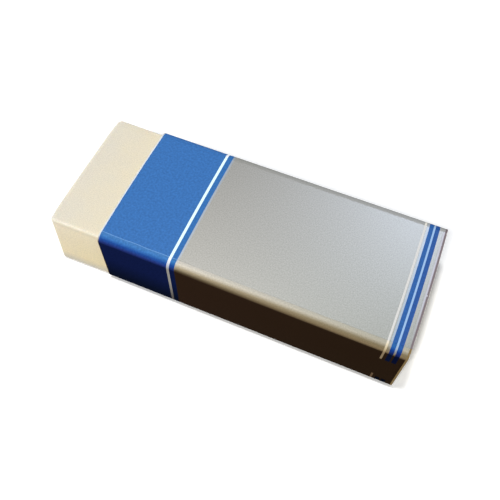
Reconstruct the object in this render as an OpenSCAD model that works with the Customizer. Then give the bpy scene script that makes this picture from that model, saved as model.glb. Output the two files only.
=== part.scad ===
// Rubber eraser in a folded card sleeve.
// X runs along the length, with the bare end of the block towards -X.
// Y runs across the width, with the seam of the sleeve on the +Y side.
// Z is up. The origin is under the middle of the whole eraser, on the surface that it lies on.

/* [Block] */
// Length of the block from end to end
block_l = 58.8; // [52:0.1:70]
// Width of the block
block_w = 22.8; // [16:0.1:32]
// Height of the block
block_h = 12; // [8:0.1:18]
// Rounding of the four long edges
long_edge_r = 0.7; // [0.4:0.05:1.5]
// Rounding of the top and bottom edges at each end
end_edge_r = 0.9; // [0.4:0.05:2.5]
// Rounding of the four upright edges
upright_edge_r = 1.1; // [0.4:0.05:2.5]

/* [Sleeve] */
// Length of the sleeve from mouth to mouth
sleeve_l = 49.7; // [36:0.1:51]
// Thickness of the card
card_t = 0.28; // [0.15:0.01:0.5]
// Height of the straight part of the glue flap, inside the back
flap_h = 8.2; // [3:0.1:9]
// How far each end of the glue flap slants back at its free edge
flap_slant = 1.6; // [0:0.1:4]
// How far the free edge of the back panel stops above the bottom fold
seam_rise = 0.2; // [0:0.05:1]

/* [Fit] */
// Play between the block and the card on each side
play = 0.15; // [0.1:0.01:0.4]
// Clearance between an edge of the block and the inside of a fold
fold_gap = 0.05; // [0.03:0.01:0.1]
// How far the hidden end of the block lies inside the sleeve
end_inset = 0.2; // [0:0.1:3]

/* [Hidden] */
$fn = 64;

// The card is wrapped once round the block, and its back is two layers, panel over flap
sleeve_w = block_w + 2 * play + 3 * card_t;
sleeve_h = block_h + 2 * play + 2 * card_t;

// The widest inner radius of a fold that still clears the rounded edge of the block
fold_in_r = (sqrt(2) * (long_edge_r + play) - long_edge_r - fold_gap) / (sqrt(2) - 1);
fold_r = fold_in_r + card_t;

// Lowest point of the back panel, and the height at which the straight flap starts
seam_z = fold_r + seam_rise;

// The whole eraser is centred on the origin, from the bare end to the far mouth
bare_l = block_l + end_inset - sleeve_l;
total_l = sleeve_l + bare_l;
sleeve_x = total_l / 2 - sleeve_l;
block_x = -total_l / 2;
block_y = -sleeve_w / 2 + card_t + play;
block_z = card_t + play;

// Stands a drawing in Y and Z up and draws it out along +X
module along_x(length) {
    rotate([90, 0, 90]) linear_extrude(length) children();
}

// Stands a drawing in X and Z up and draws it out along +Y
module along_y(length) {
    translate([0, length, 0]) rotate([90, 0, 0]) linear_extrude(length) children();
}

// A rectangle with its lower left corner at the origin and four round corners
module rounded_rectangle(width, height, r) {
    translate([r, 0]) square([width - 2 * r, height]);
    translate([0, r]) square([width, height - 2 * r]);
    for (x = [r, width - r], y = [r, height - r]) translate([x, y]) circle(r);
}

// One quarter of a ring of card, turned to the corner that side_y and side_z point to
module fold(centre_y, centre_z, side_y, side_z) {
    translate([centre_y, centre_z]) intersection() {
        difference() {
            circle(fold_r);
            circle(fold_in_r);
        }
        translate([side_y < 0 ? -fold_r : 0, side_z < 0 ? -fold_r : 0]) square(fold_r);
    }
}

// The wrap of card seen from its mouth: bottom, front, top and back panel, and four folds
module wrap_section() {
    front = -sleeve_w / 2;
    back = sleeve_w / 2;
    flap_back = back - card_t;
    front_fold = front + fold_r;
    back_fold = back - fold_r;
    flap_fold = flap_back - fold_r;
    top_fold = sleeve_h - fold_r;

    translate([front_fold, 0]) square([flap_fold - front_fold, card_t]);
    translate([front, fold_r]) square([card_t, sleeve_h - 2 * fold_r]);
    translate([front_fold, sleeve_h - card_t]) square([back_fold - front_fold, card_t]);
    translate([flap_back, seam_z]) square([card_t, top_fold - seam_z]);

    fold(front_fold, fold_r, -1, -1);
    fold(front_fold, top_fold, -1, 1);
    fold(back_fold, top_fold, 1, 1);
    fold(flap_fold, fold_r, 1, -1);
}

// The glue flap: it rises from the bottom fold inside the back panel, and its ends slant
module glue_flap() {
    translate([0, sleeve_w / 2 - 2 * card_t, fold_r]) along_y(card_t)
        polygon([
            [0, 0],
            [sleeve_l, 0],
            [sleeve_l - flap_slant, flap_h],
            [flap_slant, flap_h]
        ]);
}

// The block: the space that a long, a cross and an upright rounded bar share
module eraser_block() {
    color("antiquewhite") translate([block_x, block_y, block_z]) intersection() {
        along_x(block_l) rounded_rectangle(block_w, block_h, long_edge_r);
        along_y(block_w) rounded_rectangle(block_l, block_h, end_edge_r);
        linear_extrude(block_h) rounded_rectangle(block_l, block_w, upright_edge_r);
    }
}

// The sleeve: one strip of card, creased four times and glued to its own flap
module card_sleeve() {
    color("silver") translate([sleeve_x, 0, 0]) {
        along_x(sleeve_l) wrap_section();
        glue_flap();
    }
}

eraser_block();
card_sleeve();
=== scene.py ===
# Looks of a rubber eraser in a folded card sleeve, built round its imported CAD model.
# Lengths are in metres in the frame of the CAD model: +X runs from the bare end of the block
# to the far mouth of the sleeve, -Y is the front, and the eraser lies on the plane z = 0.

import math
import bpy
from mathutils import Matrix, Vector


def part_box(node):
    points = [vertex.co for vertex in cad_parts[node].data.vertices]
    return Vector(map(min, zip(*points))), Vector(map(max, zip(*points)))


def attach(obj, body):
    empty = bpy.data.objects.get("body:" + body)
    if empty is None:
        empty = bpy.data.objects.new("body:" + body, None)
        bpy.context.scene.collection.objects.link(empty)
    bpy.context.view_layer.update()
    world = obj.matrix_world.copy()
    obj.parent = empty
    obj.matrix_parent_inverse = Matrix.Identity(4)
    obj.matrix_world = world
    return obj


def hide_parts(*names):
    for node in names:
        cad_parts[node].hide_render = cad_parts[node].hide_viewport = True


bl_info = {
    "name": "Rubber Eraser in a Card Sleeve",
    "version": (1, 0, 0),
    "blender": (4, 5, 0),
    "location": "3D View > Sidebar > Eraser",
    "description": "Builds the rubber block, its printed card sleeve and a plain white stage",
    "category": "Object",
}

import bmesh
import bpy
from bpy.props import (
    FloatProperty,
    FloatVectorProperty,
    IntProperty,
    PointerProperty,
)
from mathutils import Matrix, Vector, noise

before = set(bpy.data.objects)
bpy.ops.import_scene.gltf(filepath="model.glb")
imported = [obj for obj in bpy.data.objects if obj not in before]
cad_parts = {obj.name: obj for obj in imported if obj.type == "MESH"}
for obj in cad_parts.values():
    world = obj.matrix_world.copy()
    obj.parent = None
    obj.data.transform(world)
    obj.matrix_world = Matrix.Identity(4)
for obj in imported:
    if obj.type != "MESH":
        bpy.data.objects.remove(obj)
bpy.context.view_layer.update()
BLOCK_LOW, BLOCK_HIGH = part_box("eraser_block")
SLEEVE_LOW, SLEEVE_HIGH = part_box("card_sleeve")

MM = 0.001
# Name of the mesh attribute that holds each point's place on the flat, unfolded card
BLANK = "blank"
# The direction that each lamp stands in, its distance and width in millimetres, and its colour
LAMPS = {
    "overhead": ((-0.098, -0.07, 0.96), 400, 45, "#ffffff"),
    "front": ((-0.08, -0.58, 0.8), 400, 50, "#fffefb"),
    "cool": ((0.17, 0.62, 0.77), 350, 120, "#dceaff"),
}


def linear(hex_colour):
    """The scene-linear RGBA of an sRGB hex colour such as #4077bb."""
    channels = [int(hex_colour[i : i + 2], 16) / 255 for i in (1, 3, 5)]
    return [c / 12.92 if c <= 0.04045 else ((c + 0.055) / 1.055) ** 2.4 for c in channels] + [1.0]


def length(name, description, millimetres):
    """A length property, given in millimetres and kept in metres."""
    return FloatProperty(
        name=name, description=description, default=millimetres * MM, precision=5, unit="LENGTH"
    )


def number(name, description, value, subtype="NONE"):
    """A number property, such as a share, a strength or an angle in radians."""
    return FloatProperty(name=name, description=description, default=value, subtype=subtype)


def colour(name, description, hex_colour):
    """A colour property, given as an sRGB hex colour."""
    return FloatVectorProperty(
        name=name,
        description=description,
        default=linear(hex_colour),
        size=4,
        min=0.0,
        max=1.0,
        subtype="COLOR",
    )


class EraserBlockSettings(bpy.types.PropertyGroup):
    end_round: length("End Rounding", "How far the rounding reaches along the block", 0.95)
    side_round: length("Side Rounding", "Rounding of the long edges", 0.6)
    foot_share: number(
        "Foot Share", "Rounding at the foot as a share of the rounding at the top", 0.45, "FACTOR"
    )
    lean: length("End Lean", "How far the foot of the bare end stands out past its top", 0.35)
    pivot: number(
        "Lean Pivot", "Share of the height at which the leaning end stays in place", 0.64, "FACTOR"
    )
    corner_fall: length("Corner Fall", "How far the upper corners of the bare end fall back", 0.28)
    swelling: length("Swelling", "How far the bare end swells out past the sleeve's grip", 0.09)
    sag: length("Sag", "How far the foot of the bare end sags below the sleeved part", 0.06)
    unevenness: length("Unevenness", "Height of the soft swells in the moulded faces", 0.025)
    swell: length("Swell Length", "Distance between two swells", 6.0)
    pore: length("Pore Size", "Size of the fine pits in the rubber", 0.18)
    cloud: length("Cloud Size", "Size of the soft clouds in the yellowing", 4.0)
    # Painted light: below this reach the sides of the block are painted paler, standing in for light
    # from the front
    edge_reach: length("Edge Reach", "How far down the top edges the paler flank begins", 1.2)
    # Painted shadow: how far up from the foot the block is painted greyer
    foot_shadow_reach: length("Soil Reach", "How far up from the foot the grey of the desk reaches", 2.5)
    top: colour("Top", "Fresh rubber on the faces in the light", "#dbd4c4")
    # Yellower rubber, blended in towards the card and down towards the foot
    yellow_tone: colour("Aged", "Yellowed rubber beside the card and towards the foot", "#efdeae")
    # Painted light on the sides of the block, standing in for light from the front
    flank: colour("Flank", "Rubber of the sides, kept pale by the card", "#f7eacf")
    # Painted contact shadow along the foot of the block
    painted_foot_shadow: colour("Soiled", "Rubber along the foot, greyed by the desk", "#c3bfb7")
    # Painted highlight along the rounded edges of the block
    painted_edge_highlight: colour("Rubbed", "Rubber along the edges, rubbed clean and pale", "#f6f0e0")


class CardSleeveSettings(bpy.types.PropertyGroup):
    card: length("Card Thickness", "Thickness of the card", 0.28)
    fold: length("Fold Radius", "Outer radius of the four folds", 1.4)
    flap: length("Flap Height", "Height of the glue flap inside the back panel", 8.2)
    slant: length("Flap Slant", "How far each end of the glue flap slants back", 1.6)
    seam: length("Seam Height", "Height of the free edge of the back panel", 1.57)
    glue: length("Glue Gap", "Thickness of the glue between panel and flap", 0.01)
    burr: length("Burr", "How far the torn fibres of the near mouth stand out", 0.2)
    far_burr: length("Far Burr", "How far the worn edge of the far mouth stands out", 0.13)
    bow: length("Bow", "How far the top panel stands up in its middle", 0.06)
    bulge: length("Mouth Bulge", "How far the mouths bulge in the middle of the top", 0.1)
    ripple: length("Ripple", "Height of the soft ripples in the card", 0.03)
    ripple_length: length("Ripple Length", "Distance between two ripples", 9.0)
    cut_round: length("Cut Rounding", "Rounding along the cut edges of the card", 0.05)
    rows: IntProperty(name="Rows", description="Rows of the mesh round the wrap", default=460)
    columns: IntProperty(name="Columns", description="Columns along the sleeve", default=52)
    seed: IntProperty(name="Seed", description="Seed of the ripples", default=7)

    field_end: length("Field End", "Where the blue field ends, from the near mouth", 11.71)
    rule_end: length("Rule End", "Where the white rule beside the field ends", 12.15)
    thin_end: length("Thin Blue End", "Where the thin blue rule ends", 13.02)
    pale_start: length("Pale Rule Start", "Where the cream rule starts", 46.15)
    pale_end: length("Pale Rule End", "Where the cream rule ends", 46.46)
    first_start: length("First Stripe Start", "Where the first blue stripe starts", 46.95)
    first_end: length("First Stripe End", "Where the first blue stripe ends", 47.62)
    second_start: length("Second Stripe Start", "Where the second blue stripe starts", 47.91)
    second_end: length("Second Stripe End", "Where the second blue stripe ends", 48.59)
    # Painted light and shade: the band along the far cut edge, darker on the broad panels and paler on
    # the dark narrow panels
    far_edge_start: length("Worn Edge Start", "Where the worn edge at the far mouth starts", 49.48)
    break_high: length("Break High", "Upper end of the break in the stripes on the sides", 9.1)
    break_low: length("Break Low", "Lower end of the break in the cream rule on the sides", 3.0)
    break_foot: length("Break Foot", "Lower end of the break in the blue stripes", 2.2)
    mouth_end: length("Mouth End", "Where the torn board of the near mouth ends", 0.05)
    fringe: length("Fringe", "Width of the pale blue fringe beside a rule or stripe", 0.3)
    # Painted highlight: the lilac band beside the far cut edge
    sheen_start: length("Sheen Start", "Where the lilac sheen beside the worn edge starts", 49.22)
    # Painted reflection: over this span the bare foil turns to the cooler foil shades
    cool_start: length("Cool Start", "Where the foil starts to turn cooler", 14.0)
    cool_end: length("Cool End", "Where the foil has turned cool", 45.0)
    crack: length("Crack", "Width of the pale line of cracked ink along a crease", 0.11)
    crack_wander: length("Crack Wander", "How far that line strays from side to side", 0.3)
    crack_bend: length("Crack Bend", "Distance between two bends of that line", 2.5)
    crack_inset: length("Crack Inset", "How far before the crease that line lies at most", 0.17)
    nick: length("Nick", "Size of the nicks in the worn edge", 1.1)
    mottle: length("Mottle", "Size of the soft blotches in the inks", 0.36)
    flake: length("Flake", "Size of the metal flakes", 0.2)
    back_fibre: length("Back Fibre", "Size of the fibres on the back of the board", 0.25)
    cut_fibre: length("Cut Fibre", "Size of the fibres in the cut edges", 0.1)

    # Past the top shade, an ink's shades are painted light and shade: start, lit, half and low paint the
    # light and shade round a near fold, far the darker far fold, and side and foot the painted shade and
    # dark reflection of the narrow panels, darker at the foot
    silver_top: colour("Silver Top", "Metallised board on the broad panels", "#9f9e9c")
    silver_start: colour("Silver Start", "Metallised board at the start of a fold", "#c8c4bf")
    silver_lit: colour("Silver Lit", "Metallised board where a fold is lit most", "#d4cec4")
    silver_half: colour("Silver Half", "Metallised board halfway round a fold", "#a79a82")
    silver_low: colour("Silver Low", "Metallised board low on a fold", "#564a39")
    # Painted dark reflection on the narrow panels, where the bare foil would be, darker at the foot
    silver_side: colour("Silver Side", "Brown-black print on the narrow panels", "#2f2118")
    silver_foot: colour("Silver Foot", "Brown-black print at the foot of a panel", "#30221a")
    silver_far: colour("Silver Far", "Metallised board over the far fold", "#a3a3a0")
    # The foil shades are the silver's painted light and shade, painted cooler towards the far mouth as a
    # painted reflection
    foil_top: colour("Foil Top", "The same board towards the far mouth", "#a3a5a6")
    foil_start: colour("Foil Start", "The same at the start of a fold", "#c5c2b9")
    foil_lit: colour("Foil Lit", "The same where a fold is lit most", "#c7c1b6")
    foil_half: colour("Foil Half", "The same halfway round a fold", "#94876d")
    foil_low: colour("Foil Low", "The same low on a fold", "#968266")
    # Painted dark reflection on the narrow panels, as for the silver, darker at the foot
    foil_side: colour("Foil Side", "The same brown-black print on the narrow panels", "#312319")
    foil_foot: colour("Foil Foot", "The same print at the foot of a panel", "#32251b")
    foil_far: colour("Foil Far", "The same over the far fold", "#a1a2a1")
    blue_top: colour("Blue Top", "Blue ink on the broad panels", "#346bac")
    blue_start: colour("Blue Start", "Blue ink at the start of a fold", "#4578b3")
    blue_lit: colour("Blue Lit", "Blue ink where a fold is lit most", "#3e75b5")
    blue_half: colour("Blue Half", "Blue ink halfway round a fold", "#224c98")
    blue_low: colour("Blue Low", "Blue ink low on a fold", "#243374")
    # Painted shade on the narrow panels, darker at the foot
    blue_side: colour("Blue Side", "Navy ink on the narrow panels", "#111b44")
    blue_foot: colour("Blue Foot", "Navy ink at the foot of a panel", "#0c1327")
    blue_far: colour("Blue Far", "Blue ink over the far fold", "#4071b0")
    white_top: colour("White Top", "White ink on the broad panels", "#e2fcff")
    white_start: colour("White Start", "White ink at the start of a fold", "#f0f2f4")
    white_lit: colour("White Lit", "White ink where a fold is lit most", "#dee2ea")
    white_half: colour("White Half", "White ink halfway round a fold", "#c5cad6")
    white_low: colour("White Low", "White ink low on a fold", "#adb0ba")
    # Painted shade on the narrow panels, darker at the foot
    white_side: colour("White Side", "White ink on the narrow panels", "#9e9a93")
    white_foot: colour("White Foot", "White ink at the foot of a panel", "#615c59")
    white_far: colour("White Far", "White ink over the far fold", "#f0f2f4")
    cream_top: colour("Cream Top", "Cream ink on the broad panels", "#d3d2cf")
    cream_start: colour("Cream Start", "Cream ink at the start of a fold", "#e4dccb")
    cream_lit: colour("Cream Lit", "Cream ink where a fold is lit most", "#dccfb4")
    cream_half: colour("Cream Half", "Cream ink halfway round a fold", "#c9bb9c")
    cream_low: colour("Cream Low", "Cream ink low on a fold", "#ab9875")
    # Painted shade on the narrow panels, darker at the foot
    cream_side: colour("Cream Side", "Cream ink on the narrow panels", "#917e62")
    cream_foot: colour("Cream Foot", "Cream ink at the foot of a panel", "#6a5541")
    cream_far: colour("Cream Far", "Cream ink over the far fold", "#dedad0")
    mouth: colour("Mouth", "Torn board along the near mouth", "#dbe0e2")
    # Painted reflection across the bare foil: these filters darken it at the near right and the far left
    near_left: colour("Near Left", "Filter of the foil at the near left", "#faf9f3")
    near_right: colour("Near Right", "Filter of the foil at the near right", "#dddcd3")
    far_left: colour("Far Left", "Filter of the foil at the far left", "#ecece9")
    crease: colour("Crease", "Cracked ink along the start of a fold", "#6492c8")
    # Painted highlight beside the far cut edge, fading towards the near crease
    sheen: colour("Sheen", "Lilac sheen of the varnish beside the worn edge", "#c1c1cd")
    thin_tone: colour("Thin Tone", "Filter that deepens the thin blue rule", "#e4f7f9")
    # Painted shade: the first and second tones darken the stripes towards the far mouth, and the low
    # tone darkens both on the narrow panels
    first_tone: colour("First Tone", "Filter that deepens the first stripe", "#c0d5e7")
    second_tone: colour("Second Tone", "Filter that deepens the second stripe", "#b6c1dc")
    low_tone: colour("Low Tone", "Filter of both stripes on the narrow panels", "#fffbd2")
    tint: colour("Tint", "Pale blue tint between the stripes", "#94b7de")
    # Painted shade along the far cut edge on the broad panels
    shaded: colour("Worn", "Bruised edge of the print at the far mouth", "#796d71")
    # Painted band along the far cut edge on the dark narrow panels, paler than they are
    far_edge_on_dark: colour("Worn Side", "Bruised edge of the dark print", "#86714c")
    board: colour("Board", "Uncoated back of the board", "#d8d2c6")
    core: colour("Core", "Cut edge of the board", "#e6e3de")


class StageSettings(bpy.types.PropertyGroup):
    azimuth: number(
        "Azimuth",
        "Turn of the camera round the eraser, from straight in front",
        math.radians(20.61),
        "ANGLE",
    )
    elevation: number(
        "Elevation", "Height of the camera above the horizon", math.radians(59.22), "ANGLE"
    )
    roll: number(
        "Roll", "Turn of the camera about its own line of sight", math.radians(2.35), "ANGLE"
    )
    distance: length("Distance", "Distance from the camera to the point it looks at", 102.97)
    aim: FloatVectorProperty(
        name="Aim",
        description="Point that the camera looks at",
        default=(0.95 * MM, -1.0 * MM, 6.43 * MM),
        precision=5,
        subtype="TRANSLATION",
        unit="LENGTH",
    )
    lens: number("Lens", "Focal length in millimetres on a 36 mm frame", 44.78)
    floor_size: length("Floor Size", "Side of the white floor", 1500.0)
    floor: number("Floor", "Whiteness of the matt floor as it lights the eraser", 0.9)
    floor_seen: number(
        "Floor Seen",
        "Whiteness of the floor to the camera, where only the shadow falls below white",
        1.1,
    )
    floor_lift: number(
        "Floor Lift",
        "Light that the floor gives of its own in the shadow, as a share of white",
        0.018,
    )
    shadow_end: length("Shadow End", "Distance up to which the shadow keeps its depth", 60.0)
    white_start: length("White Start", "Distance from which the floor is evenly white", 400.0)
    sky: number("Sky", "Strength of the even light from all round", 0.22)
    overhead: number("Overhead", "Power of the overhead lamp", 0.74)
    front: number("Front", "Power of the front lamp", 0.68)
    cool: number("Cool", "Power of the cool rear lamp", 0.145)


def add_node(tree, kind, inputs=None, **settings):
    """Adds a node, sets its properties, and sets or links its inputs by name or number.

    A shader node's kind is given without the ShaderNode that its type starts with. An input
    may be given a value, a socket, or a node, whose first output is then linked.
    """
    made = tree.nodes.new(kind if "Node" in kind else f"ShaderNode{kind}")
    for name, value in settings.items():
        setattr(made, name, value)
    for key, value in (inputs or {}).items():
        if isinstance(value, bpy.types.Node):
            value = value.outputs[0]
        if isinstance(value, bpy.types.NodeSocket):
            tree.links.new(value, made.inputs[key])
        else:
            made.inputs[key].default_value = value
    return made


def set_ramp(ramp_node, stops):
    """Fills a colour ramp with (position, colour) stops."""
    ramp = ramp_node.color_ramp
    ramp.elements.remove(ramp.elements[-1])
    for index, (position, value) in enumerate(stops):
        element = ramp.elements[0] if index == 0 else ramp.elements.new(position)
        element.position = position
        element.color = value


def new_material(name):
    """An empty node material and its tree."""
    material = bpy.data.materials.new(name)
    material.use_nodes = True
    material.node_tree.nodes.clear()
    return material, material.node_tree


def mottled(tree, place, size, least, most, spread=0.2, **grain):
    """A random pattern as coarse as the size, and a filter made of it, from least to most."""
    pattern = add_node(tree, "TexNoise", {"Vector": place, "Scale": 1 / size, **grain})
    low, high = 0.5 - spread, 0.5 + spread
    filtered = add_node(
        tree,
        "MapRange",
        {"Value": pattern, "From Min": low, "From Max": high, "To Min": least, "To Max": most},
    )
    return pattern, filtered


def finish_material(tree, tone, pattern, strength, depth, surface):
    """Gives a material its colour, a fine relief after a pattern, and its other values."""
    relief = add_node(tree, "Bump", {"Height": pattern, "Strength": strength, "Distance": depth})
    shader = add_node(tree, "BsdfPrincipled", {"Base Color": tone, "Normal": relief, **surface})
    add_node(tree, "OutputMaterial", {"Surface": shader})


def link_object(name, data):
    """Puts a new object, which sits at the origin, into the scene."""
    made = bpy.data.objects.new(name, data)
    bpy.context.scene.collection.objects.link(made)
    return made


def as_plain_mesh(made):
    """Turns an object's modifiers into its mesh."""
    evaluated = made.evaluated_get(bpy.context.evaluated_depsgraph_get())
    mesh = bpy.data.meshes.new_from_object(evaluated)
    made.modifiers.clear()
    made.data = mesh


def moulded_rubber(settings):
    """Plasticised rubber from a smooth mould: matt, slightly waxy and translucent, with fine
    pits, yellower towards the card and the foot, painted paler on its sides as if lit from the
    front, with a painted shadow along its foot and a painted highlight along its edges."""
    material, tree = new_material("moulded_cream_rubber")
    place = add_node(tree, "TexCoord").outputs["Object"]
    axes = add_node(tree, "SeparateXYZ", {"Vector": place})
    along, down, over_edge, at_foot = [
        add_node(
            tree,
            "MapRange",
            {"Value": axes.outputs[axis], "From Min": start, "From Max": end, "To Max": most},
        )
        for axis, start, end, most in (
            ("X", BLOCK_LOW.x, SLEEVE_LOW.x, 0.3),
            ("Z", BLOCK_HIGH.z, BLOCK_LOW.z, 0.7),
            # Painted light on the sides, below the top edge
            ("Z", BLOCK_HIGH.z, BLOCK_HIGH.z - settings.edge_reach, 1.0),
            # Painted shadow up from the foot
            ("Z", BLOCK_LOW.z + settings.foot_shadow_reach, BLOCK_LOW.z, 0.8),
        )
    ]
    clouds = add_node(tree, "TexNoise", {"Vector": place, "Scale": 1 / settings.cloud, "Detail": 3.0})
    clouds = add_node(tree, "Math", {0: clouds, 1: 0.3, 2: -0.15}, operation="MULTIPLY_ADD")
    # Yellower towards the card and down towards the foot, in soft clouds
    yellow_share = add_node(tree, "Math", {0: along, 1: down})
    yellow_share = add_node(tree, "Math", {0: yellow_share, 1: clouds}, use_clamp=True)
    # Where the rounded edges get their painted highlight
    edge = add_node(tree, "Attribute", attribute_name="edge").outputs["Fac"]
    edge_highlight_share = add_node(tree, "Math", {0: edge, 1: 0.7}, operation="MULTIPLY")
    tone = list(settings.top)
    # Over the fresh rubber: painted light on the sides, a yellower tone towards the card and foot, a
    # painted shadow along the foot and a painted highlight along the edges
    for share, changed in (
        (over_edge, settings.flank),
        (yellow_share, settings.yellow_tone),
        (at_foot, settings.painted_foot_shadow),
        (edge_highlight_share, settings.painted_edge_highlight),
    ):
        tone = add_node(
            tree, "Mix", {"Factor": share, 6: tone, 7: list(changed)}, data_type="RGBA"
        ).outputs[2]
    # The real pits are finer still: they are drawn this coarse so that they show
    pits, speckle = mottled(tree, place, settings.pore, 0.82, 1.08, Detail=3.0, Roughness=0.7)
    tone = add_node(
        tree, "Mix", {"Factor": 1.0, 6: tone, 7: speckle}, data_type="RGBA", blend_type="MULTIPLY"
    ).outputs[2]
    surface = {
        "Roughness": 0.62,
        "IOR": 1.5,
        "Specular IOR Level": 0.35,
        "Subsurface Weight": 0.2,
        "Subsurface Radius": (1.0, 0.75, 0.45),
        "Subsurface Scale": 0.8 * MM,
    }
    finish_material(tree, tone, pits, 0.35, 0.02 * MM, surface)
    return material


def sheet_sizes(settings):
    """Places and sizes of the middle layer of the folded card, which its mesh is built on."""
    half_card = settings.card / 2
    back = SLEEVE_HIGH.y - half_card
    top = SLEEVE_HIGH.z - half_card
    bend = settings.fold - half_card
    arc = bend * math.pi / 2
    crease = back - bend
    narrow = 2 * arc + top - half_card - 2 * bend
    front = SLEEVE_LOW.y + half_card
    flap = back - settings.card - settings.glue
    return {
        "Near Mouth": SLEEVE_LOW.x - settings.burr,
        "Length": SLEEVE_HIGH.x - SLEEVE_LOW.x + settings.burr + settings.far_burr,
        "Front": front,
        "Back": back,
        "Top": top,
        "Bottom": half_card,
        "Seam": settings.seam,
        "Flap": flap,
        "Flap Top": settings.fold + settings.flap,
        "Flap Height": settings.flap,
        "Bend": bend,
        "Arc": arc,
        "Crease": crease,
        "Narrow": narrow,
        "Underneath": crease + narrow + (flap - front) / 2 - bend,
        "Seam to Middle": top - bend - settings.seam + arc + crease,
    }


def bent(sizes, degrees):
    """Where past its crease a fold has turned by an angle, as a share of the narrow panel.

    The narrow panel is counted with both of its folds.
    """
    return sizes["Arc"] / sizes["Narrow"] * degrees / 90


def places_on_blank(tree, sizes):
    """Where a point lies on the blank, the flat card before it is folded, as named sockets.

    "along" runs from the near mouth, and "around" is 0 in the middle of the top panel and
    positive towards the front. The others go by the distance from that middle, either way. It
    falls again past the middle of the bottom panel, so the last fold gets the same painted shade
    as the one in front. "height" is that of the narrow panels above the floor.
    """
    crease = sizes["Crease"]
    place = add_node(tree, "Attribute", attribute_name=BLANK).outputs["Vector"]
    axes = add_node(tree, "SeparateXYZ", {"Vector": place})
    around = axes.outputs["Y"]
    either_way = add_node(tree, "Math", {0: around}, operation="ABSOLUTE")
    falling = add_node(tree, "Math", {0: 2 * sizes["Underneath"], 1: around}, operation="SUBTRACT")
    across = add_node(tree, "Math", {0: either_way, 1: falling}, operation="MINIMUM")
    return {
        "place": place,
        "along": axes.outputs["X"],
        "around": around,
        "in front": add_node(tree, "Math", {0: around, 1: 0.0}, operation="GREATER_THAN"),
        "on top": add_node(tree, "Math", {0: across, 1: crease}, operation="LESS_THAN"),
        "past crease": add_node(
            tree,
            "MapRange",
            {"Value": across, "From Min": crease, "From Max": crease + sizes["Narrow"]},
        ),
        "height": add_node(
            tree,
            "Math",
            {0: crease + sizes["Arc"] + sizes["Top"] - sizes["Bend"], 1: across},
            operation="SUBTRACT",
        ),
    }


def ink(tree, settings, sizes, on, name):
    """One ink from the top panel round a fold, down a narrow panel and under its foot, with the
    fold's light and shade and the narrow panel's dark reflection painted into its colour.
    """
    places = ("top", "start", "lit", "half", "low", "side", "foot", "far")
    shade = {place: list(getattr(settings, f"{name}_{place}")) for place in places}
    fold = bent(sizes, 90)
    # Down the narrow panel, painted darker from its middle on, and round the fold to the bottom panel
    panel = [
        (fold, shade["side"]),
        (0.45, shade["side"]),
        (0.95 - fold, shade["foot"]),
        (1 - fold / 2, shade["foot"]),
        (1.0, shade["top"]),
    ]
    # Round the fold, where the painted highlight and shade start at once past the crease
    near = [
        (0.0, shade["top"]),
        (0.004, shade["start"]),
        (bent(sizes, 12), shade["start"]),
        (bent(sizes, 24), shade["lit"]),
        (bent(sizes, 47), shade["half"]),
        (bent(sizes, 70), shade["low"]),
    ]
    # Over the far fold, a painted darker reflection
    far = [(0.0, shade["top"]), (0.012, shade["far"]), (bent(sizes, 66), shade["far"])]
    ramps = []
    for stops in (far, near):
        ramps.append(add_node(tree, "ValToRGB", {"Fac": on["past crease"]}))
        set_ramp(ramps[-1], stops + panel)
    return add_node(
        tree,
        "Mix",
        {"Factor": on["in front"], 6: ramps[0].outputs[0], 7: ramps[1].outputs[0]},
        data_type="RGBA",
    ).outputs[2]


def bare_foil(tree, settings, sizes, on):
    """The silver of the bare foil with a painted reflection, warm at the near left, cool at the
    far right and darker at the near right and the far left, and the pattern of its flakes,
    which are drawn coarser than real ones so that they show."""
    to_right = add_node(
        tree,
        "MapRange",
        {"Value": on["along"], "From Min": settings.cool_start, "From Max": settings.cool_end},
    )
    to_near = add_node(
        tree,
        "MapRange",
        {"Value": on["around"], "From Min": -sizes["Crease"], "From Max": sizes["Crease"]},
    )
    silver, far_reflection_filter, near_reflection_filter = [
        add_node(tree, "Mix", {"Factor": to_right, 6: left, 7: right}, data_type="RGBA").outputs[2]
        for left, right in (
            [ink(tree, settings, sizes, on, name) for name in ("silver", "foil")],
            (list(settings.far_left), (1.0, 1.0, 1.0, 1.0)),
            (list(settings.near_left), list(settings.near_right)),
        )
    ]
    # Painted reflection: darker at the near right and the far left
    painted_reflection_filter = add_node(
        tree, "Mix", {"Factor": to_near, 6: far_reflection_filter, 7: near_reflection_filter}, data_type="RGBA"
    ).outputs[2]
    flakes, sparkle = mottled(tree, on["place"], settings.flake, 0.87, 1.13, Detail=1.0, Roughness=0.8)
    for filtered in (sparkle, painted_reflection_filter):
        silver = add_node(
            tree, "Mix", {"Factor": 1.0, 6: silver, 7: filtered}, data_type="RGBA", blend_type="MULTIPLY"
        ).outputs[2]
    return silver, flakes


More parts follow.
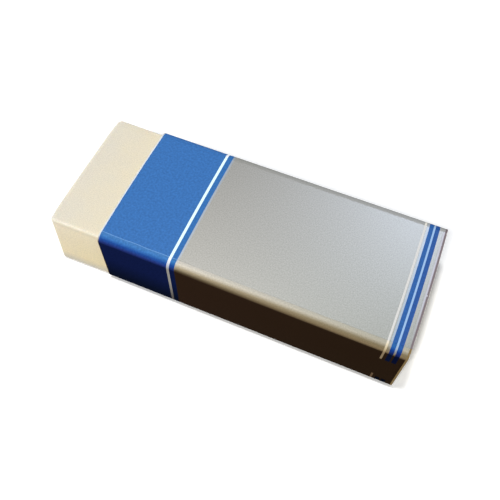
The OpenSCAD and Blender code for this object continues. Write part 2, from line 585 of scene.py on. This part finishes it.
def crease_crack_and_far_edge(tree, settings, sizes, on, printed, masks):
    """The print with its ink cracked along the near crease of the blue field, and painted
    shade along its edge at the far mouth, paler on the dark narrow panels, with pale nicks."""
    wander = add_node(
        tree, "TexNoise", {"Vector": on["place"], "Scale": 1 / settings.crack_bend, "Detail": 2.0}
    )
    line = add_node(
        tree,
        "Math",
        {0: wander, 1: settings.crack_wander, 2: sizes["Crease"] - settings.crack_inset},
        operation="MULTIPLY_ADD",
    )
    cracked = add_node(
        tree, "Math", {0: on["around"], 1: line, 2: settings.crack / 2}, operation="COMPARE"
    )
    cracked = add_node(tree, "Math", {0: cracked, 1: masks["field"]}, operation="MULTIPLY")
    on_front_narrow_panel = add_node(
        tree, "Math", {0: on["in front"], 1: on["on top"]}, operation="SUBTRACT", use_clamp=True
    )
    nicks = add_node(
        tree,
        "TexNoise",
        {"Vector": on["place"], "Scale": 1 / settings.nick, "Detail": 3.0, "Roughness": 0.7},
    )
    nicks = add_node(tree, "MapRange", {"Value": nicks, "From Min": 0.66, "From Max": 0.7})
    # Painted shade of the far cut edge, paler on the dark narrow panels, with pale nicks
    far_edge_tone = list(settings.shaded)
    for share, tone in ((on_front_narrow_panel, settings.far_edge_on_dark), (nicks, settings.mouth)):
        far_edge_tone = add_node(
            tree, "Mix", {"Factor": share, 6: far_edge_tone, 7: list(tone)}, data_type="RGBA"
        ).outputs[2]
    for share, tone in ((cracked, list(settings.crease)), (masks["edge"], far_edge_tone)):
        printed = add_node(
            tree, "Mix", {"Factor": share, 6: printed, 7: tone}, data_type="RGBA"
        ).outputs[2]
    return printed


def print_masks(tree, settings, sizes, on):
    """Where each ink, tint, painted sheen and painted edge shade lies on the blank, as masks from 0 to
    1.

    The stripes and the cream rule break off on the narrow panels and start again at the foot.
    """

    def bands(*edges):
        """1 in each (start, end) band along the sleeve, and 0 between."""
        total = 0.0
        for start, end in edges:
            middle = (start + end) / 2 + settings.burr
            inside = add_node(
                tree, "Math", {0: on["along"], 1: middle, 2: (end - start) / 2}, operation="COMPARE"
            )
            total = add_node(tree, "Math", {0: inside, 1: total}, operation="MAXIMUM")
        return total

    over_break = add_node(
        tree, "Math", {0: on["height"], 1: settings.break_high}, operation="GREATER_THAN"
    )
    whole = {}
    for name, low in (("rule", settings.break_low), ("stripes", settings.break_foot)):
        below = add_node(tree, "Math", {0: on["height"], 1: low}, operation="LESS_THAN")
        whole[name] = add_node(tree, "Math", {0: over_break, 1: below}, operation="MAXIMUM")
    field = bands((0.0, settings.field_end))
    thin = bands((settings.rule_end, settings.thin_end))
    cream = bands((settings.pale_start, settings.pale_end))
    first = bands((settings.first_start, settings.first_end))
    second = bands((settings.second_start, settings.second_end))
    field = add_node(tree, "Math", {0: field, 1: thin}, operation="MAXIMUM")
    cream = add_node(tree, "Math", {0: cream, 1: whole["rule"]}, operation="MULTIPLY")
    stripes = add_node(tree, "Math", {0: first, 1: second}, operation="MAXIMUM")
    stripes = add_node(tree, "Math", {0: stripes, 1: whole["stripes"]}, operation="MULTIPLY")
    # 1 down the narrow panels, a fade round the folds, and one from the middle to the front crease
    down_side, fade, waning = [
        add_node(
            tree,
            "MapRange",
            {"Value": on[way], "From Min": start, "From Max": end, "To Min": least, "To Max": most},
        )
        for way, start, end, least, most in (
            ("past crease", bent(sizes, 60), bent(sizes, 90), 0.0, 1.0),
            ("past crease", 0.0, bent(sizes, 75), 0.95, 0.0),
            ("around", 0.0, sizes["Crease"], 1.0, 0.0),
        )
    ]
    faint = add_node(tree, "Math", {0: fade, 1: 0.25}, operation="MULTIPLY")
    waning = add_node(tree, "Math", {0: waning, 1: on["on top"]}, operation="MULTIPLY")
    fringes = (
        (settings.thin_end, settings.thin_end + settings.fringe),
        (settings.first_start - settings.fringe, settings.first_start),
    )
    fading = {
        name: add_node(tree, "Math", {0: bands(*edges), 1: strength}, operation="MULTIPLY")
        for name, strength, *edges in (
            ("gap", fade, (settings.first_end, settings.second_start)),
            ("fringe", faint, *fringes),
            # The painted highlight beside the far cut edge, fading towards the near crease
            ("sheen", waning, (settings.sheen_start, settings.far_edge_start)),
            ("mouth", fade, (-2 * settings.burr, settings.mouth_end)),
        )
    }
    return {
        "field": field,
        "thin": thin,
        "first": first,
        "second": second,
        "low": add_node(tree, "Math", {0: stripes, 1: down_side}, operation="MULTIPLY"),
        "blue": add_node(tree, "Math", {0: field, 1: stripes}, operation="MAXIMUM"),
        "white": bands((settings.field_end, settings.rule_end)),
        "cream": cream,
        # The band of painted shade along the far cut edge
        "edge": bands((settings.far_edge_start, SLEEVE_HIGH.x - SLEEVE_LOW.x + settings.far_burr)),
        **fading,
    }


def print_layout(tree, settings):
    """The printed colour at each place of the blank, with its painted light, shade and
    reflection, the share of it that is bare foil, and the pattern of the foil's flakes."""
    sizes = sheet_sizes(settings)
    on = places_on_blank(tree, sizes)
    masks = print_masks(tree, settings, sizes, on)
    printed, flakes = bare_foil(tree, settings, sizes, on)
    # Over the foil: the pale tints, the painted sheen, the inks and the torn board of the near mouth
    for name, layer in (
        ("gap", list(settings.tint)),
        ("fringe", list(settings.tint)),
        ("sheen", list(settings.sheen)),
        ("blue", ink(tree, settings, sizes, on, "blue")),
        ("white", ink(tree, settings, sizes, on, "white")),
        ("cream", ink(tree, settings, sizes, on, "cream")),
        ("mouth", list(settings.mouth)),
    ):
        printed = add_node(
            tree, "Mix", {"Factor": masks[name], 6: printed, 7: layer}, data_type="RGBA"
        ).outputs[2]

    _, blotches = mottled(tree, on["place"], settings.mottle, 0.85, 1.15, Detail=2.0)
    filters = [(masks["blue"], blotches)]
    # The thin tone deepens the thin rule; the stripe tones are painted shade near the far mouth and on
    # the narrow panels
    for name in ("thin", "first", "second", "low"):
        deepened = add_node(tree, "Math", {0: masks[name], 1: masks["blue"]}, operation="MULTIPLY")
        filters.append((deepened, list(getattr(settings, f"{name}_tone"))))
    for mask, filtered in filters:
        printed = add_node(
            tree,
            "Mix",
            {"Factor": mask, 6: printed, 7: filtered},
            data_type="RGBA",
            blend_type="MULTIPLY",
        ).outputs[2]
    printed = crease_crack_and_far_edge(tree, settings, sizes, on, printed, masks)

    bare = 1.0
    for name in ("blue", "white", "cream", "mouth", "gap", "sheen", "edge"):
        bare = add_node(tree, "Math", {0: bare, 1: masks[name]}, operation="SUBTRACT", use_clamp=True)
    return printed, bare, flakes


def printed_broad_board(settings):
    """Metallised folding board, offset printed and varnished: the bare foil is a soft silver
    with fine flakes, and the inks on it are even with a low satin gloss. Its colour carries
    the painted reflection, sheen and shade of the print."""
    material, tree = new_material("printed_metallised_board")
    printed, bare, flakes = print_layout(tree, settings)
    metallic = add_node(tree, "Math", {0: bare, 1: 0.85}, operation="MULTIPLY")
    surface = {"Metallic": metallic, "Roughness": 0.45, "Specular IOR Level": 0.2}
    finish_material(tree, printed, flakes, 0.25, 0.01 * MM, surface)
    return material


def narrow_board_with_painted_shade(settings):
    """The same board on the narrow panels and folds, where painted shade and a painted dark
    reflection cover the foil: matt, so that it stays near black against a white room."""
    material, tree = new_material("dark_printed_board")
    printed, _, flakes = print_layout(tree, settings)
    surface = {"Roughness": 0.6, "Specular IOR Level": 0.0}
    finish_material(tree, printed, flakes, 0.2, 0.01 * MM, surface)
    return material


def bare_board(name, board_colour, fibre):
    """Uncoated folding board, pressed from pulp: matt, with fine fibres, which are drawn
    coarser than real ones so that they show."""
    material, tree = new_material(name)
    place = add_node(tree, "TexCoord").outputs["Object"]
    fibres, shading = mottled(tree, place, fibre, 0.88, 1.0, spread=0.25, Detail=5.0, Roughness=0.65)
    tone = add_node(
        tree,
        "Mix",
        {"Factor": 1.0, 6: list(board_colour), 7: shading},
        data_type="RGBA",
        blend_type="MULTIPLY",
    ).outputs[2]
    surface = {"Roughness": 0.9, "Specular IOR Level": 0.2}
    finish_material(tree, tone, fibres, 0.4, 0.02 * MM, surface)
    return material


def folded_card_tree(print_material):
    """A sheet that follows the wrap of the sleeve, for Solidify to give it its thickness.

    The wrap starts at the free edge of the back panel, goes over the top, down the front and
    along the bottom, and ends in the glue flap that rises inside the back panel.
    """
    tree = bpy.data.node_groups.new("Folded Card", "GeometryNodeTree")
    wrap_sizes = ("Front", "Back", "Top", "Bottom", "Bend", "Crease", "Near Mouth", "Length")
    flap_sizes = ("Seam", "Seam to Middle", "Flap", "Flap Top", "Flap Height", "Slant")
    swells = ("Bow", "Bulge", "Ripple", "Ripple Length")
    for name in wrap_sizes + flap_sizes + swells:
        tree.interface.new_socket(name, in_out="INPUT", socket_type="NodeSocketFloat")
    for name in ("Rows", "Columns", "Seed"):
        tree.interface.new_socket(name, in_out="INPUT", socket_type="NodeSocketInt")
    tree.interface.new_socket("Geometry", in_out="OUTPUT", socket_type="NodeSocketGeometry")
    given = add_node(tree, "NodeGroupInput").outputs

    corners = (
        (given["Back"], given["Seam"]),
        (given["Back"], given["Top"]),
        (given["Front"], given["Top"]),
        (given["Front"], given["Bottom"]),
        (given["Flap"], given["Bottom"]),
        (given["Flap"], given["Flap Top"]),
    )
    line = add_node(tree, "GeometryNodeMeshLine", {"Count": len(corners)})
    choose = add_node(tree, "GeometryNodeIndexSwitch", data_type="VECTOR")
    while len(choose.index_switch_items) < len(corners):
        choose.index_switch_items.new()
    tree.links.new(add_node(tree, "GeometryNodeInputIndex").outputs[0], choose.inputs["Index"])
    for index, (across, up) in enumerate(corners):
        corner = add_node(tree, "CombineXYZ", {"Y": across, "Z": up})
        tree.links.new(corner.outputs[0], choose.inputs[index + 1])
    line = add_node(tree, "GeometryNodeSetPosition", {"Geometry": line, "Position": choose})
    path = add_node(tree, "GeometryNodeMeshToCurve", {"Mesh": line})
    path = add_node(
        tree,
        "GeometryNodeFilletCurve",
        {"Curve": path, "Count": 24, "Radius": given["Bend"]},
        mode="POLY",
    )

    grid = add_node(
        tree,
        "GeometryNodeMeshGrid",
        {"Size X": 1.0, "Size Y": 1.0, "Vertices X": given["Rows"], "Vertices Y": given["Columns"]},
    )
    flat = add_node(tree, "GeometryNodeInputPosition")
    flat = add_node(tree, "SeparateXYZ", {"Vector": flat})
    share_round = add_node(tree, "Math", {0: flat.outputs["X"], 1: 0.5})
    on_path = add_node(
        tree, "GeometryNodeSampleCurve", {"Curves": path, "Factor": share_round}, mode="FACTOR"
    )
    wrap_length = add_node(tree, "GeometryNodeCurveLength", {"Curve": path})
    travelled = add_node(tree, "Math", {0: share_round, 1: wrap_length}, operation="MULTIPLY")
    left_over = add_node(tree, "Math", {0: wrap_length, 1: travelled}, operation="SUBTRACT")
    cut_back = add_node(
        tree,
        "MapRange",
        {
            "Value": left_over,
            "From Min": given["Flap Height"],
            "From Max": 0.0,
            "To Max": given["Slant"],
        },
    )
    around = add_node(tree, "Math", {0: travelled, 1: given["Seam to Middle"]}, operation="SUBTRACT")
    off_middle = add_node(tree, "Math", {0: around, 1: given["Crease"]}, operation="DIVIDE")
    squared = add_node(tree, "Math", {0: off_middle, 1: off_middle}, operation="MULTIPLY")
    crown = add_node(tree, "Math", {0: 1.0, 1: squared}, operation="SUBTRACT", use_clamp=True)
    bulge = add_node(tree, "Math", {0: crown, 1: given["Bulge"]}, operation="MULTIPLY")
    stretch = add_node(tree, "Math", {0: bulge, 1: cut_back}, operation="SUBTRACT")
    doubled = add_node(tree, "Math", {0: flat.outputs["Y"], 1: 2.0}, operation="MULTIPLY")
    shift = add_node(
        tree, "Math", {0: doubled, 1: stretch, 2: given["Near Mouth"]}, operation="MULTIPLY_ADD"
    )
    share_along = add_node(tree, "Math", {0: flat.outputs["Y"], 1: 0.5})
    along = add_node(tree, "Math", {0: share_along, 1: given["Length"]}, operation="MULTIPLY")
    blank = add_node(tree, "CombineXYZ", {"X": along, "Y": around})
    fineness = add_node(tree, "Math", {0: 1.0, 1: given["Ripple Length"]}, operation="DIVIDE")
    ripple = add_node(
        tree,
        "TexNoise",
        {"Vector": blank, "W": given["Seed"], "Scale": fineness, "Detail": 1.0},
        noise_dimensions="4D",
    )
    ripple = add_node(tree, "Math", {0: ripple, 1: 0.5}, operation="SUBTRACT")
    ripple = add_node(tree, "Math", {0: ripple, 1: given["Ripple"]}, operation="MULTIPLY")
    rise = add_node(tree, "Math", {0: crown, 1: given["Bow"], 2: ripple}, operation="MULTIPLY_ADD")
    outward = add_node(
        tree,
        "VectorMath",
        {0: on_path.outputs["Tangent"], 1: (1.0, 0.0, 0.0)},
        operation="CROSS_PRODUCT",
    )
    bend_place = add_node(
        tree,
        "VectorMath",
        {0: outward, 1: rise, 2: on_path.outputs["Position"]},
        operation="MULTIPLY_ADD",
    )
    bend_place = add_node(tree, "SeparateXYZ", {"Vector": bend_place})
    place = add_node(
        tree,
        "CombineXYZ",
        {
            "X": add_node(tree, "Math", {0: along, 1: shift}),
            "Y": bend_place.outputs["Y"],
            "Z": bend_place.outputs["Z"],
        },
    )
    marked = add_node(
        tree,
        "GeometryNodeStoreNamedAttribute",
        {"Geometry": grid, "Name": BLANK, "Value": blank},
        data_type="FLOAT_VECTOR",
        domain="POINT",
    )
    wrapped = add_node(tree, "GeometryNodeSetPosition", {"Geometry": marked, "Position": place})
    smooth = add_node(tree, "GeometryNodeSetShadeSmooth", {"Geometry": wrapped})
    real = add_node(tree, "GeometryNodeRealizeInstances", {"Geometry": smooth})
    finished = add_node(tree, "GeometryNodeSetMaterial", {"Geometry": real, "Material": print_material})
    add_node(tree, "NodeGroupOutput", {"Geometry": finished})
    return tree


class ERASER_OT_build_block(bpy.types.Operator):
    """Builds the rubber block, softly rounded all over"""

    bl_idname = "eraser.build_block"
    bl_label = "Build Rubber Block"

    def stations(self, low, high, margin):
        """Places of the mesh lines along one axis, close together in the rounded margins."""
        in_margin, step = 10, 1.2 * MM
        turns = [math.pi / 2 * i / in_margin for i in range(in_margin)]
        edge = [margin * (1 - math.cos(turn)) for turn in turns]
        count = max(2, round((high - low - 2 * margin) / step))
        middle = [low + margin + (high - low - 2 * margin) * i / count for i in range(count + 1)]
        return [low + e for e in edge] + middle + [high - e for e in reversed(edge)]

    def execute(self, context):
        settings = context.scene.eraser_block
        margin = Vector((settings.end_round, settings.side_round, settings.side_round))
        low, high = BLOCK_LOW, BLOCK_HIGH
        centre, half = (low + high) / 2, (high - low) / 2
        marks = [self.stations(low[a], high[a], margin[a]) for a in range(3)]
        mesh = bmesh.new()
        edge_layer = mesh.verts.layers.float.new("edge")
        for axis in range(3):
            first, second = [a for a in range(3) if a != axis]
            for end in (low[axis], high[axis]):
                rows = []
                for u in marks[first]:
                    row = []
                    for v in marks[second]:
                        place = Vector((0.0, 0.0, 0.0))
                        place[axis], place[first], place[second] = end, u, v
                        row.append(mesh.verts.new(place))
                    rows.append(row)
                for r0, r1 in zip(rows, rows[1:]):
                    for a, b, c, d in zip(r0, r0[1:], r1[1:], r1):
                        mesh.faces.new((a, b, c, d))
        bmesh.ops.remove_doubles(mesh, verts=mesh.verts, dist=1e-7)
        for vert in mesh.verts:
            height = (vert.co.z - low.z) / (high.z - low.z)
            arc = margin * (settings.foot_share + (1 - settings.foot_share) * height)
            core = Vector([min(max(vert.co[a], low[a] + arc[a]), high[a] - arc[a]) for a in range(3)])
            out = Vector([(vert.co[a] - core[a]) / arc[a] for a in range(3)])
            if out.length > 1e-9:
                out.normalize()
                vert.co = core + Vector([out[a] * arc[a] for a in range(3)])
                # 1 where a rounded edge faces halfway between two sides, and 0 on the sides: the share
                # of the painted edge highlight
                slant = 1 - max(abs(part) for part in out)
                vert[edge_layer] = min(slant / (1 - math.sqrt(0.5)), 1.0)
        bmesh.ops.recalc_face_normals(mesh, faces=mesh.faces)
        mesh.normal_update()
        for vert in mesh.verts:
            swell = noise.noise(vert.co / settings.swell) * settings.unevenness
            vert.co += vert.normal * swell
            bare = min(max((SLEEVE_LOW.x - vert.co.x) / (SLEEVE_LOW.x - low.x), 0.0), 1.0)
            height = (vert.co.z - low.z) / (high.z - low.z)
            side = (vert.co.y - centre.y) / half.y
            # The sixth power keeps the fall near the corners
            fall = settings.corner_fall * abs(side) ** 6 * height
            vert.co.x += bare * (settings.lean * (height - settings.pivot) + fall)
            vert.co.y += bare * side * settings.swelling
            vert.co.z -= bare * (1 - height) * settings.sag
        data = bpy.data.meshes.new("rubber_block")
        mesh.to_mesh(data)
        mesh.free()
        data.shade_smooth()
        data.materials.append(moulded_rubber(settings))
        block = link_object("rubber_block", data)
        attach(block, "block")
        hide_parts("eraser_block")
        return {"FINISHED"}


class ERASER_OT_build_sleeve(bpy.types.Operator):
    """Builds the printed card sleeve, folded four times and glued to its own flap"""

    bl_idname = "eraser.build_sleeve"
    bl_label = "Build Card Sleeve"

    def execute(self, context):
        settings = context.scene.card_sleeve
        sizes = sheet_sizes(settings)
        # The grid brings one empty slot of its own, and Set Material fills the slot after it
        narrow, broad, inside, edge = range(4)
        materials = [
            narrow_board_with_painted_shade(settings),
            printed_broad_board(settings),
            bare_board("uncoated_board_back", settings.board, settings.back_fibre),
            bare_board("cut_board_edge", settings.core, settings.cut_fibre),
        ]
        data = bpy.data.meshes.new("printed_sleeve")
        for material in materials:
            data.materials.append(material)
        sleeve = link_object("printed_sleeve", data)

        tree = folded_card_tree(materials[broad])
        wrap = sleeve.modifiers.new("Folded Card", "NODES")
        wrap.node_group = tree
        values = dict(sizes)
        for name in ("slant", "bow", "bulge", "ripple", "ripple_length", "rows", "columns", "seed"):
            values[name.replace("_", " ").title()] = getattr(settings, name)
        for item in tree.interface.items_tree:
            if item.in_out == "INPUT":
                wrap[item.identifier] = values[item.name]
        thick = sleeve.modifiers.new("Card Thickness", "SOLIDIFY")
        thick.thickness = settings.card
        thick.offset = 0.0
        thick.material_offset = inside - broad
        thick.material_offset_rim = edge - broad
        rounded = sleeve.modifiers.new("Cut Edges", "BEVEL")
        rounded.width = settings.cut_round
        rounded.segments = 2
        rounded.limit_method = "ANGLE"
        rounded.angle_limit = math.radians(60)
        rounded.material = edge
        as_plain_mesh(sleeve)

        mesh = sleeve.data
        while len(mesh.materials) < len(materials):
            mesh.materials.append(None)
        for index, material in enumerate(materials):
            mesh.materials[index] = material
        blank = mesh.attributes[BLANK].data
        # Faces on the folds and narrow panels get the board with the painted shade and dark reflection
        for face in mesh.polygons:
            around = sum(blank[v].vector.y for v in face.vertices) / len(face.vertices)
            across = min(abs(around), 2 * sizes["Underneath"] - around)
            past_crease = across - sizes["Crease"]
            if face.material_index == broad and 0 < past_crease < sizes["Narrow"]:
                face.material_index = narrow
        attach(sleeve, "sleeve")
        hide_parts("card_sleeve")
        return {"FINISHED"}


class ERASER_OT_build_stage(bpy.types.Operator):
    """Builds the white floor, the lamps, the even light and the camera"""

    bl_idname = "eraser.build_stage"
    bl_label = "Build Stage"

    def reflected(self, tree, path):
        """1 for a ray that a gloss or a glass sends out, and 0 for any other."""
        return add_node(
            tree, "Math", {0: path["Is Glossy Ray"], 1: path["Is Transmission Ray"]}, use_clamp=True
        )

    def build_floor(self, settings):
        half = settings.floor_size / 2
        corners = [(-half, -half, 0), (half, -half, 0), (half, half, 0), (-half, half, 0)]
        data = bpy.data.meshes.new("floor")
        data.from_pydata(corners, [], [(0, 1, 2, 3)])
        material, tree = new_material("matt_white_floor")
        path = add_node(tree, "LightPath").outputs
        whiteness = add_node(
            tree,
            "MapRange",
            {
                "Value": path["Is Camera Ray"],
                "To Min": settings.floor,
                "To Max": settings.floor_seen,
            },
        )
        matt = add_node(tree, "BsdfDiffuse", {"Color": whiteness})
        place = add_node(tree, "TexCoord").outputs["Object"]
        away = add_node(tree, "VectorMath", {0: place}, operation="LENGTH")
        lift = add_node(
            tree,
            "MapRange",
            {
                "Value": away.outputs["Value"],
                "From Min": settings.shadow_end,
                "From Max": settings.white_start,
                "To Min": settings.floor_lift,
                "To Max": 1.0,
            },
        )
        lift = add_node(tree, "Math", {0: path["Is Camera Ray"], 1: lift}, operation="MULTIPLY")
        lift = add_node(tree, "Emission", {"Strength": lift})
        matt = add_node(tree, "AddShader", {0: matt, 1: lift})
        white = add_node(tree, "Emission", {"Strength": 1.0})
        either = add_node(tree, "MixShader", {0: self.reflected(tree, path), 1: matt, 2: white})
        add_node(tree, "OutputMaterial", {"Surface": either})
        data.materials.append(material)
        floor = link_object("floor", data)

    def build_sky(self, context, settings):
        world = bpy.data.worlds.new("even_light")
        context.scene.world = world
        world.use_nodes = True
        tree = world.node_tree
        tree.nodes.clear()
        path = add_node(tree, "LightPath").outputs
        seen = add_node(
            tree, "Math", {0: path["Is Camera Ray"], 1: self.reflected(tree, path)}, use_clamp=True
        )
        even = add_node(tree, "Background", {"Color": (1.0, 1.0, 1.0, 1.0), "Strength": settings.sky})
        white = add_node(tree, "Background", {"Color": (1.0, 1.0, 1.0, 1.0), "Strength": 1.0})
        either = add_node(tree, "MixShader", {0: seen, 1: even, 2: white})
        add_node(tree, "OutputWorld", {"Surface": either})

    def build_lamp(self, name, power):
        """A round soft lamp that shines at the eraser."""
        direction, distance, width, tone = LAMPS[name]
        data = bpy.data.lights.new(f"{name}_lamp", "AREA")
        data.shape = "DISK"
        data.size = width * MM
        data.energy = power
        data.color = linear(tone)[:3]
        lamp = link_object(f"{name}_lamp", data)
        towards = Vector(direction).normalized()
        lamp.location = towards * distance * MM
        lamp.rotation_euler = (-towards).to_track_quat("-Z", "Y").to_euler()

    def build_camera(self, context, settings):
        data = bpy.data.cameras.new("camera")
        data.lens = settings.lens
        data.sensor_width = 36.0
        data.clip_start = 1 * MM
        turn, rise = settings.azimuth, settings.elevation
        back = Vector(
            (math.sin(turn) * math.cos(rise), -math.cos(turn) * math.cos(rise), math.sin(rise))
        )
        camera = link_object("camera", data)
        level = (-back).to_track_quat("-Z", "Y").to_matrix().to_4x4()
        place = Vector(settings.aim) + back * settings.distance
        roll = Matrix.Rotation(settings.roll, 4, "Z")
        camera.matrix_world = Matrix.Translation(place) @ level @ roll
        context.scene.camera = camera

    def execute(self, context):
        settings = context.scene.eraser_stage
        context.scene.view_settings.view_transform = "Standard"
        self.build_floor(settings)
        self.build_sky(context, settings)
        for name in LAMPS:
            self.build_lamp(name, getattr(settings, name))
        self.build_camera(context, settings)
        return {"FINISHED"}


class ERASER_PT_panel(bpy.types.Panel):
    """Lists the sizes and colours of the eraser and the buttons that build it"""

    bl_label = "Eraser"
    bl_idname = "ERASER_PT_panel"
    bl_space_type = "VIEW_3D"
    bl_region_type = "UI"
    bl_category = "Eraser"

    def draw(self, context):
        parts = (
            (context.scene.eraser_stage, ERASER_OT_build_stage),
            (context.scene.eraser_block, ERASER_OT_build_block),
            (context.scene.card_sleeve, ERASER_OT_build_sleeve),
        )
        for settings, operator in parts:
            box = self.layout.box()
            for name in settings.bl_rna.properties.keys():
                if name not in ("rna_type", "name"):
                    box.prop(settings, name)
            box.operator(operator.bl_idname)


CLASSES = (
    EraserBlockSettings,
    CardSleeveSettings,
    StageSettings,
    ERASER_OT_build_block,
    ERASER_OT_build_sleeve,
    ERASER_OT_build_stage,
    ERASER_PT_panel,
)


def register():
    for cls in CLASSES:
        bpy.utils.register_class(cls)
    bpy.types.Scene.eraser_block = PointerProperty(type=EraserBlockSettings)
    bpy.types.Scene.card_sleeve = PointerProperty(type=CardSleeveSettings)
    bpy.types.Scene.eraser_stage = PointerProperty(type=StageSettings)


def unregister():
    del bpy.types.Scene.eraser_stage
    del bpy.types.Scene.card_sleeve
    del bpy.types.Scene.eraser_block
    for cls in reversed(CLASSES):
        bpy.utils.unregister_class(cls)


def main():
    register()
    bpy.ops.eraser.build_stage()
    bpy.ops.eraser.build_block()
    bpy.ops.eraser.build_sleeve()


if __name__ == "__main__":
    main()
